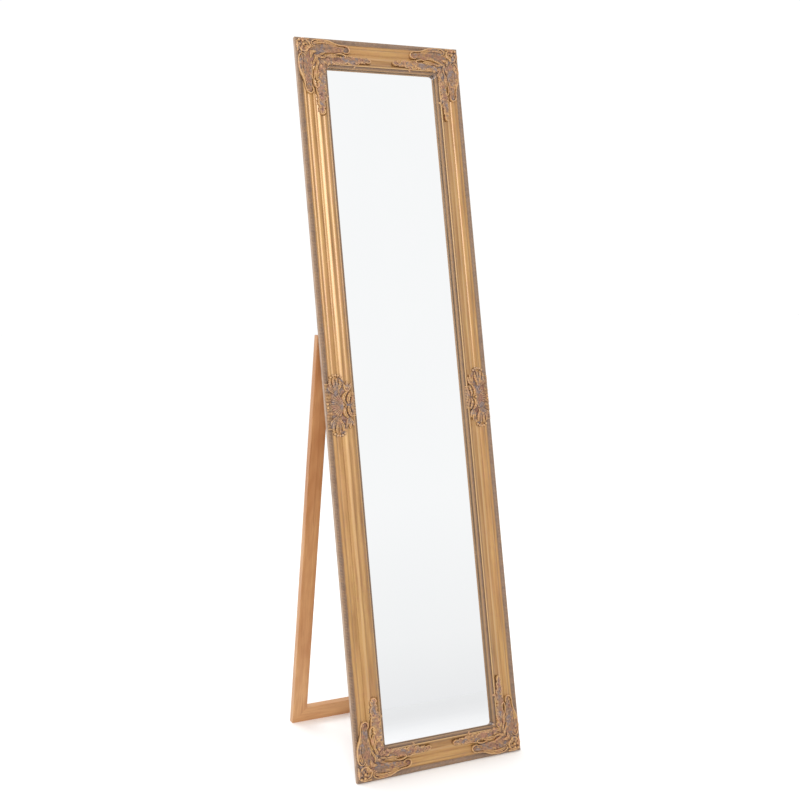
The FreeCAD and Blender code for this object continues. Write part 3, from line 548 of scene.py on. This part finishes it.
class Relief:
    """Heights above the filled moulding over a grid, with how much wash each place holds."""

    def __init__(self, u_range, v_range):
        u = np.arange(u_range[0], u_range[1] + RELIEF_PITCH / 2, RELIEF_PITCH)
        v = np.arange(v_range[0], v_range[1] + RELIEF_PITCH / 2, RELIEF_PITCH)
        self.u, self.v = np.meshgrid(u, v, indexing="ij")
        self.height = np.full(self.u.shape, SUNK)
        self.wash = np.full(self.u.shape, 0.6)

    def window(self, low, high):
        """The part of the grid between two corners."""
        ends = []
        for axis, (a, b) in enumerate(zip(low, high)):
            start = (self.u, self.v)[axis][0, 0]
            size = self.u.shape[axis]
            ends.append(slice(int(np.clip((a - start) / RELIEF_PITCH, 0, size)),
                              int(np.clip((b - start) / RELIEF_PITCH + 2, 0, size))))
        return tuple(ends)

    def lay(self, spot, height, wash):
        """Keeps the higher of what is there and the new height."""
        above = height > self.height[spot]
        self.height[spot] = np.where(above, height, self.height[spot])
        self.wash[spot] = np.where(above, wash, self.wash[spot])

    def stroke(self, points, wash, section="round", rib=0.0, cut=0.0, edge=0.0, edge_pitch=5.0):
        """A raised band along a curve of (u, v, half width, height) points.

        rib cuts grooves along it at that pitch and cut is their depth; edge notches its outline.
        """
        line = smooth_line(points)
        reach = line[:, 2].max() + 2.5
        spot = self.window(line[:, :2].min(0) - reach, line[:, :2].max(0) + reach)
        if not self.u[spot].size:
            return
        far, side, width, high, travel = nearest(self.u[spot], self.v[spot], line)
        if edge:
            width = width * (1 - edge * np.abs(np.sin(np.pi * travel / edge_pitch)) ** 0.6 + edge * 0.5)
        inside = far / np.maximum(width, 0.05)
        crown = stroke_crown(section, inside, side)
        height = high * crown
        if rib:
            height = height - cut * (0.5 + 0.5 * np.cos(2 * np.pi * side / rib)) * np.clip(crown * 2, 0, 1)
        height = np.where(inside < 1, height, -FLANK * (far - width))
        self.lay(spot, np.maximum(height, SUNK), wash)

    def leaf(self, points, wash, edge=0.0, edge_pitch=5.0):
        """A stroke with a vein along it; edge notches its outline."""
        self.stroke(points, wash, "leaf", edge=edge, edge_pitch=edge_pitch)

    def dome(self, u, v, radius, height, wash):
        spot = self.window((u - radius - 1.5, v - radius - 1.5), (u + radius + 1.5, v + radius + 1.5))
        far = np.hypot(self.u[spot] - u, self.v[spot] - v)
        crown = np.sqrt(np.clip(1 - (far / radius) ** 2, 0, 1))
        self.lay(spot, np.where(far < radius, height * crown, -FLANK * (far - radius)), wash)

    def seeds(self, source, points, radius, height):
        """Small grains strewn over a band of (u, v, half width) points, on top of what is there."""
        for u, v, half in smooth_line(points, 6):
            for _ in range(max(1, int(half * 1.1))):
                place = source.uniform(-1, 1) * half * 0.85
                along = source.uniform(-2, 2)
                size = radius * source.uniform(0.7, 1.35)
                low = (u + along - size, v + place - size)
                spot = self.window(low, (u + along + size, v + place + size))
                if not self.u[spot].size:
                    continue
                far = np.hypot(self.u[spot] - u - along, self.v[spot] - v - place) / size
                lift = height * np.sqrt(np.clip(1 - far ** 2, 0, 1))
                there = self.height[spot]
                raised = np.maximum(there, there * 0.9 + lift)
                self.height[spot] = np.where(there > -0.5, raised, there)

    def crumple(self, source, size, depth):
        """The unevenness of pressed composition: a smooth random swell, with the wash in its low parts."""
        knots = [max(3, int(extent * RELIEF_PITCH / size)) for extent in self.u.shape]
        swell = source.uniform(-1, 1, knots)
        for axis, extent in enumerate(self.u.shape):
            place = np.linspace(0, knots[axis] - 1.001, extent)
            low = place.astype(int)
            share = (place - low) ** 2 * (3 - 2 * (place - low))
            share = share[:, None] if axis == 0 else share[None, :]
            swell = np.take(swell, low, axis) * (1 - share) + np.take(swell, low + 1, axis) * share
        self.height = np.where(self.height > -0.6, self.height + depth * swell, self.height)
        self.wash = self.wash - 0.28 * swell

    def fan(self, focus, radius, height, turn, spread, ribs, wash):
        """A domed shell: ribs that spread from a focus, with a scalloped edge."""
        reach = radius + 3
        spot = self.window((focus[0] - reach, focus[1] - reach), (focus[0] + reach, focus[1] + reach))
        du, dv = self.u[spot] - focus[0], self.v[spot] - focus[1]
        far = np.hypot(du, dv)
        angle = (np.arctan2(dv, du) - turn + np.pi) % (2 * np.pi) - np.pi
        wave = np.abs(np.cos(ribs * np.pi * angle / (2 * spread)))
        edge = radius * (0.93 + 0.07 * wave)
        off = np.maximum(np.abs(angle) - spread, 0) * far
        inside = far / edge
        body = height * (1 - 0.55 * inside ** 1.5) * np.clip((1 - inside) * 7, 0, 1) ** 0.5
        body = body - (0.9 - 0.75 * wave) * np.clip(inside * 3, 0, 1)
        outside = -FLANK * np.maximum(np.maximum(far - edge, 0), off)
        self.lay(spot, np.where((inside < 1) & (off <= 0), body, np.maximum(outside, SUNK)), wash)

    def join_mirrored(self):
        """Adds the same shapes with u and v exchanged, on a square grid."""
        other = self.height.T > self.height
        self.wash = np.where(other, self.wash.T, self.wash)
        self.height = np.maximum(self.height, self.height.T)

    def blurred(self, rounds):
        soft = np.maximum(self.height, -1.5)
        for _ in range(rounds):
            wide = np.pad(soft, 1, mode="edge")
            soft = (wide[:-2, 1:-1] + wide[2:, 1:-1] + wide[1:-1, :-2] + wide[1:-1, 2:] + soft) / 5
        return soft

    def shade(self):
        """The wash, more in the hollows and less on the high places, and painted shade for the hollows with
        painted highlight for the high places.
        """
        # painted shade and highlight: how far each place lies below or above its blurred surroundings
        fine = (self.blurred(6) - self.height) / 0.5
        broad = (self.blurred(50) - self.height) / 1.8
        painted_shade_highlight = np.clip(0.55 * np.clip(fine, -1, 1) + 0.55 * np.clip(broad, -1, 1), -1, 1)
        return np.clip(self.wash + 0.35 * painted_shade_highlight, 0, 1.2), painted_shade_highlight


# The corner ornament: u and v are the distances from the frame's two outer edges. One arm is carved, along
# u, and join_mirrored adds the other. The rows are (u, v, half width, height).

GROUND = [(14, 14, 12, 1.0), (30, 30, 24, 1.2), (52, 50, 16, 1.0)]
SHELL = [(34, 27, 8, 2.2), (58, 24, 11, 2.8), (84, 23, 9, 2.8), (106, 24, 6.5, 2.4), (118, 24, 5, 2.0)]
LOBE = [(38, 15, 3, 2.2), (52, 9.5, 5.5, 3.4), (70, 9, 5, 3.2), (88, 13, 3, 2.6), (99, 18, 1.2, 2.0)]
SCROLL_RIM = [(43, 20, 1.0, 2.6), (37, 16, 1.4, 3.0), (38, 9, 1.6, 3.2), (47, 4.5, 1.7, 3.4),
              (64, 4, 1.9, 3.4), (80, 7, 1.9, 3.4), (92, 11.5, 1.7, 3.4), (104, 14.5, 1.6, 3.4),
              (114, 15, 1.6, 3.8), (122, 18.5, 1.8, 4.4), (125, 25, 2.1, 4.8), (121.5, 30.5, 2.0, 4.8),
              (115, 32, 1.7, 4.2), (111, 30, 1.3, 3.4)]
# petals of the clump in the corner: rows, wash, how notched
PETALS = [
    ([(10, 5, 2.4, 2.4), (18, 6, 5, 4.0), (31, 4, 1.6, 2.6)], 0.45, 0.25),
    ([(14, 13, 2.4, 2.2), (24, 13.5, 5, 3.8), (36, 11.5, 1.4, 2.6)], 0.6, 0.2),
    ([(22, 22, 2.0, 3.0), (30, 18, 3.2, 3.8), (38, 22, 1.8, 3.2)], 0.4, 0.0),
]
CURLED_PETAL = [(7, 23, 1.6, 3.2), (12, 30, 2.4, 4.4), (20, 32, 2.8, 4.8), (26, 28, 2.4, 4.2),
                (22, 24, 1.6, 3.4)]
# berries as (u, v, radius), and leaves along the mitre as (start, half width)
BERRIES = [(8, 8, 3.4), (16.5, 9, 3.6), (17, 17, 4.0)]
MITRE_LEAVES = [(21, 4.4), (31, 5.2), (41, 4.8)]
# crisp leaves that spring from the inner corner: rows, wash
SPRUNG_LEAVES = [
    ([(47, 42, 2, 3.4), (56, 38, 3.4, 4.4), (66, 33, 1.2, 2.8)], 0.3),
    ([(50, 46, 2, 3.4), (60, 45, 3.6, 4.4), (70, 42, 1.4, 3.0)], 0.55),
    ([(54, 52, 2, 2.8), (61, 57, 3.6, 3.2), (70, 60, 1.6, 2.0)], 0.7),
]
BUD = [(66, 42, 2.4, 3.4), (76, 42, 6, 5.0), (86, 41, 6.2, 5.0), (95, 42, 3, 3.8)]
STEM = [(88, 36, 1.4, 3.2), (98, 34, 2.0, 4.4), (108, 35.5, 2.1, 4.8), (113, 39.5, 2.1, 4.8),
        (110, 44, 1.9, 4.4), (104, 44.5, 1.4, 3.6)]
STEM_TIP = [(114, 38, 1.5, 3.6), (124, 39, 1.6, 4.2), (135, 41.5, 1.5, 4.0), (141, 39, 1.3, 3.6)]
TRAIL = [(70, 54, 8, 2.6), (90, 51.5, 9.5, 3.2), (112, 48.5, 10.5, 3.6), (132, 48, 9.8, 3.4),
         (150, 47, 7.6, 3.2), (164, 46.5, 5.6, 2.8), (170, 46.5, 3.4, 2.2)]
# leaves on the trail: where their middles are, and which way they turn
TRAIL_LEAVES = [(80, 58, 1), (87, 49, -1), (98, 56, 1), (106, 51, -1), (117, 56, 1), (125, 43, -1),
                (134, 54, 1), (142, 42, -1), (150, 51, 1), (158, 43, -1)]
TRAIL_CURL = [(160, 50.5, 1.3, 3.2), (167, 52, 1.6, 4.0), (172, 48.5, 1.6, 4.0), (170, 43.5, 1.4, 3.6),
              (164.5, 45, 1.0, 3.0)]
CROSSING_LEAF = [(118, 53, 2.4, 2.6), (127, 56.5, 4.4, 2.8), (133, 61.5, 2.6, 2.2), (131, 64, 1.2, 1.4)]


def carve_scroll(field):
    """The shell, ribbed along its length, the smooth lobe beside it, and the hooked rim round both."""
    field.stroke(GROUND, 0.85, "flat")
    field.stroke(SHELL, 0.95, "dished", rib=3.3, cut=0.8)
    field.leaf(LOBE, 0.5, edge=0.12, edge_pitch=7)
    field.stroke(SCROLL_RIM, 0.3, edge=0.22, edge_pitch=9)


def carve_clump(field):
    """The clump in the corner, with the leaves along the mitre and at the inner corner."""
    for points, wash, edge in PETALS:
        field.leaf(points, wash, edge)
    field.stroke(CURLED_PETAL, 0.25)
    for u, v, radius in BERRIES:
        field.dome(u, v, radius, 4.6, 0.3)
    for start, half in MITRE_LEAVES:
        leaf = [(start, start, 2.0, 3.4), (start + 7, start + 2, half, 5.2),
                (start + 15, start + 1, 1.4, 3.2)]
        field.leaf(leaf, 0.3, edge=0.25, edge_pitch=4)
    for points, wash in SPRUNG_LEAVES:
        field.leaf(points, wash, edge=0.2, edge_pitch=4)


def carve_trail(field, source):
    """The bud and the stem that edge the trail, then its grains, its small leaves and its curled tip."""
    field.stroke(BUD, 0.12, "leaf", rib=3.4, cut=0.7)
    field.stroke(STEM, 0.1)
    field.stroke(STEM_TIP, 0.2)
    field.stroke(TRAIL, 0.75, "flat", edge=0.3, edge_pitch=8)
    field.seeds(source, [point[:3] for point in TRAIL], 1.5, 0.6)
    for u, v, turn in TRAIL_LEAVES:
        leaf = [(u - 6, v - 3.4 * turn, 1.2, 3.4), (u, v, 3.4, 4.8), (u + 7, v + 2.4 * turn, 1.2, 3.6)]
        field.leaf(leaf, source.uniform(0.3, 0.8), edge=0.25, edge_pitch=3.6)
    field.stroke(TRAIL_CURL, 0.3)
    field.leaf(CROSSING_LEAF, 0.72, edge=0.25, edge_pitch=4)


def corner_relief(source):
    field = Relief((0, CORNER_REACH), (0, CORNER_REACH))
    carve_scroll(field)
    carve_clump(field)
    carve_trail(field, source)
    field.join_mirrored()
    field.crumple(source, 8.0, 0.9)
    field.crumple(source, 3.6, 0.55)
    return field


# The side cartouche: u runs down the stile from its middle, v is the distance from the outer edge. Its
# leaves are given for the lower end and repeated at the upper one.

CARTOUCHE_GROUND = [(-44, 30, 15, 0.8), (0, 32, 24, 1.0), (46, 30, 15, 0.8)]
SHELL_FOCUS = (0, 38)
BOSS = [(2.5, 43, 2.4, 4.0), (9, 38.5, 5.0, 5.8), (18, 39.5, 5.6, 6.0), (26, 45, 3.0, 4.4)]
SIDE_BOSS = [(4, 49, 2.4, 3.2), (12, 48.5, 4.8, 5.0), (20, 51, 4.2, 4.6), (25, 54, 2.0, 3.2)]
SMALL_BOSS = [(3, 55, 2.0, 2.6), (11, 57.5, 3.6, 3.4), (19, 60, 1.8, 2.4)]
SPRAY_ROOT = 24
# leaves of the spray, and of the inner band: (u, v) of the tip, half width, wash
SPRAY_LEAVES = [(52, 12, 5.0, 0.7), (58, 20, 4.6, 0.35), (57, 27, 4.2, 0.6), (54, 34, 5.2, 0.3),
                (42, 8.5, 4.2, 0.9)]
BAND_LEAVES = [(47, 41, 4.6, 0.35), (50, 49, 5.2, 0.2), (45, 57, 4.4, 0.6)]
SPRAY_STEM = [(26, 30, 1.3, 4.0), (42, 30.5, 1.4, 4.8)]


def turned(points, end):
    """The points at the lower end, 1, or turned over to the upper one, -1."""
    return [(end * u, *rest) for u, *rest in points]


def carve_shell(field):
    """The ribbed bead at the outer edge with its two beads, and the shell that spreads towards it."""
    for rib in np.arange(-46.5, 50, 3.1):
        field.stroke([(rib, 1.2, 1.2, 1.8), (rib + 0.6, 11, 1.3, 2.2)], 0.72)
    for middle in (-3.8, 3.8):
        field.dome(middle, 4.2, 3.2, 3.6, 0.1)
    field.fan(SHELL_FOCUS, radius=29, height=5.4, turn=-math.pi / 2, spread=1.3, ribs=13, wash=0.9)
    field.dome(0, 37, 4.0, 5.8, 0.2)


def carve_end(field, end):
    """The bosses, the spray of leaves, the leaves on the inner band and the row of beads at one end."""
    field.leaf(turned(BOSS, end), 0.0, edge=0.2, edge_pitch=7)
    field.leaf(turned(SIDE_BOSS, end), 0.25, edge=0.25, edge_pitch=5)
    field.leaf(turned(SMALL_BOSS, end), 0.5, edge=0.2, edge_pitch=4)
    for tip_u, tip_v, half, wash in SPRAY_LEAVES:
        middle_u = SPRAY_ROOT + (tip_u - SPRAY_ROOT) * 0.6
        middle_v = SPRAY_ROOT + (tip_v - SPRAY_ROOT) * 0.9
        leaf = [(SPRAY_ROOT, SPRAY_ROOT, 2.4, 2.8), (middle_u, middle_v, half, 5.0), (tip_u, tip_v, 2.2, 3.4)]
        field.leaf(turned(leaf, end), wash, edge=0.25, edge_pitch=4.5)
    field.stroke(turned(SPRAY_STEM, end), 0.02)
    for tip_u, tip_v, half, wash in BAND_LEAVES:
        middle_u, middle_v = tip_u * 0.5 + 13, (47 + tip_v) / 2 + 0.5
        leaf = [(27, 47, 1.6, 2.6), (middle_u, middle_v, half, 4.2), (tip_u, tip_v, 1.2, 2.6)]
        field.leaf(turned(leaf, end), wash, edge=0.22, edge_pitch=4.5)
    for v in (15, 20.5, 26, 31.5, 37):
        field.dome(end * (65 - 0.035 * (v - 26) ** 2), v, 3.1, 3.4, 0.95)


def cartouche_relief(source):
    field = Relief((-CARTOUCHE_HALF, CARTOUCHE_HALF), (0, RAIL))
    field.stroke(CARTOUCHE_GROUND, 0.85, "flat")
    carve_shell(field)
    for end in (-1, 1):
        carve_end(field, end)
    for rib in np.arange(-24, 25, 3.4):
        field.stroke([(rib, 55.5, 1.2, 1.6), (rib, 63.5, 1.3, 1.5)], 0.8)
    field.crumple(source, 8.0, 0.8)
    field.crumple(source, 3.6, 0.5)
    return field


composition = gilt("gilt_composition", 0.25, 0.9, RELIEF_TONES, paint(212, 170, 122))


def relief_mesh(name, field, across, plan, flip, node):
    """The field as a mesh over the moulding. across is each place's distance from the nearer outer edge."""
    depth = -(np.interp(across, *zip(*FILLED)) + RELIEF_GAIN * field.height)
    x, up = plan(field.u, field.v)
    points = np.stack([x, depth, up], -1).reshape(-1, 3)
    faces = grid_faces(*field.u.shape, flip)
    raised = (field.height > RELIEF_FLOOR) & (across < RAIL - SIGHT_GAP)
    faces = faces[raised.reshape(-1)[faces].any(axis=1)]
    used = np.unique(faces)
    renumber = np.zeros(len(points), int)
    renumber[used] = np.arange(len(used))
    values = painted(*field.shade(), field.u, across)
    values = {key: numbers.reshape(-1)[used] for key, numbers in values.items()}
    obj = piece(name, points[used], renumber[faces], (composition,), values)
    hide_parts(node)


# The bits of composition that round the sight corners off, down to the glass.
SIGHT_ROUND = 7.0
SIGHT_TUCK = 0.2
SIGHT_STEPS = 12
SIGHT_LEVELS = [-7.8, -6.8, GLASS_FRONT - 0.4]
SIGHT_WASH = 0.6
# painted shade on the wall, darker towards the glass, as (depth, amount)
SIGHT_PAINTED_SHADE_AT = [(-7.8, 0.0), (-4, 0.4), (3, 0.9)]


def sight_corner(label, plan, flip):
    """A cap with a concave edge over the sight corner, and its wall."""
    swing = np.linspace(0, np.pi / 2, SIGHT_STEPS + 1)
    u = np.concatenate([[RAIL - SIGHT_TUCK], RAIL + SIGHT_ROUND * (1 - np.sin(swing))])
    v = np.concatenate([[RAIL - SIGHT_TUCK], RAIL + SIGHT_ROUND * (1 - np.cos(swing))])
    x, up = plan(u, v)
    points = np.concatenate([np.stack([x, np.full(len(x), level), up], -1) for level in SIGHT_LEVELS])
    count = len(u)
    cap = [[0, i, i + 1] for i in range(1, count - 1)]
    wall = [[i, i + count, i + count + 1, i + 1]
            for level in range(len(SIGHT_LEVELS) - 1)
            for i in range(level * count + 1, (level + 1) * count - 1)]
    faces = [face[::-1] if flip else face for face in cap + wall]
    # painted shade, darker towards the glass
    painted_shade_highlight = np.interp(points[:, 1], *zip(*SIGHT_PAINTED_SHADE_AT))
    obj = piece(f"sight_{label}", points, faces, (composition,),
                painted(np.full(len(points), SIGHT_WASH), painted_shade_highlight, points[:, 0], points[:, 2]))


# Where the ornaments lie: from (u, v) to (x, up), and whether the faces turn over.
CORNERS = {
    "bottom_left": (lambda u, v: (u - WIDTH / 2, v), False),
    "bottom_right": (lambda u, v: (WIDTH / 2 - u, v), True),
    "top_left": (lambda u, v: (u - WIDTH / 2, HEIGHT - v), True),
    "top_right": (lambda u, v: (WIDTH / 2 - u, HEIGHT - v), False),
}
CARTOUCHES = {
    "left": (lambda u, v: (v - WIDTH / 2, HEIGHT / 2 - CARTOUCHE_DROP - u), True),
    "right": (lambda u, v: (WIDTH / 2 - v, HEIGHT / 2 - CARTOUCHE_DROP - u), False),
}

source = np.random.default_rng(7)
corner = corner_relief(source)
nearer = np.minimum(corner.u, corner.v)
for label, (plan, flip) in CORNERS.items():
    relief_mesh(f"relief_{label}", corner, nearer, plan, flip, f"{label}_corner_ornament")
    sight_corner(label, plan, flip)
cartouche = cartouche_relief(source)
for label, (plan, flip) in CARTOUCHES.items():
    relief_mesh(f"relief_{label}_cartouche", cartouche, cartouche.v, plan, flip, f"{label}_cartouche")


# Stage, light and camera, in metres in the row frame

FLOOR_REACH = 14.0
SKY_COLOUR, SKY_STRENGTH = (0.995, 0.997, 1.0, 1.0), 1.04
EYE = (-1.2030, -2.4227, 1.1177)
EYE_TILT, EYE_TURN = math.radians(82.881), math.radians(-26.288)
SENSOR_WIDTH, FOCAL_LENGTH = 36.0, 55.09


def stage():
    s = Shader("floor_paint")
    tone = s.noise(s.place(), 2.0, 2.0)
    white = s.ramp(tone, tones((0.3, 252, 252, 252), (0.7, 254, 254, 253)))
    mesh = bpy.data.meshes.new("floor")
    corners = [(-1, -1), (1, -1), (1, 1), (-1, 1)]
    mesh.from_pydata([(x * FLOOR_REACH, y * FLOOR_REACH, 0) for x, y in corners], [], [(0, 1, 2, 3)])
    mesh.materials.append(s.finish(Base_Color=white, Roughness=0.6))
    floor = bpy.data.objects.new("floor", mesh)
    bpy.context.scene.collection.objects.link(floor)


def softbox(name, place, aim, size, power):
    light = bpy.data.lights.new(name, "AREA")
    light.shape = "RECTANGLE"
    light.size, light.size_y = size
    light.energy = power
    lamp = bpy.data.objects.new(name, light)
    lamp.location = place
    lamp.rotation_euler = (Vector(aim) - Vector(place)).to_track_quat("-Z", "Y").to_euler()
    bpy.context.scene.collection.objects.link(lamp)


def studio():
    world = bpy.data.worlds.new("studio")
    world.use_nodes = True
    background = world.node_tree.nodes["Background"]
    background.inputs["Color"].default_value = SKY_COLOUR
    background.inputs["Strength"].default_value = SKY_STRENGTH
    bpy.context.scene.world = world
    softbox("front_softbox", place=(-1.5, -3.2, 2.7), aim=(0, 0, 0.8), size=(1.0, 1.6), power=56)
    softbox("backdrop_softbox", place=(-0.7, 2.0, 2.6), aim=(0, 0.25, 0), size=(1.6, 1.2), power=24)


def camera():
    lens = bpy.data.cameras.new("camera")
    lens.sensor_width = SENSOR_WIDTH
    lens.lens = FOCAL_LENGTH
    eye = bpy.data.objects.new("camera", lens)
    eye.location = EYE
    eye.rotation_euler = (EYE_TILT, 0, EYE_TURN)
    bpy.context.scene.collection.objects.link(eye)
    bpy.context.scene.camera = eye


stage()
studio()
camera()
bpy.context.scene.view_settings.view_transform = "Standard"
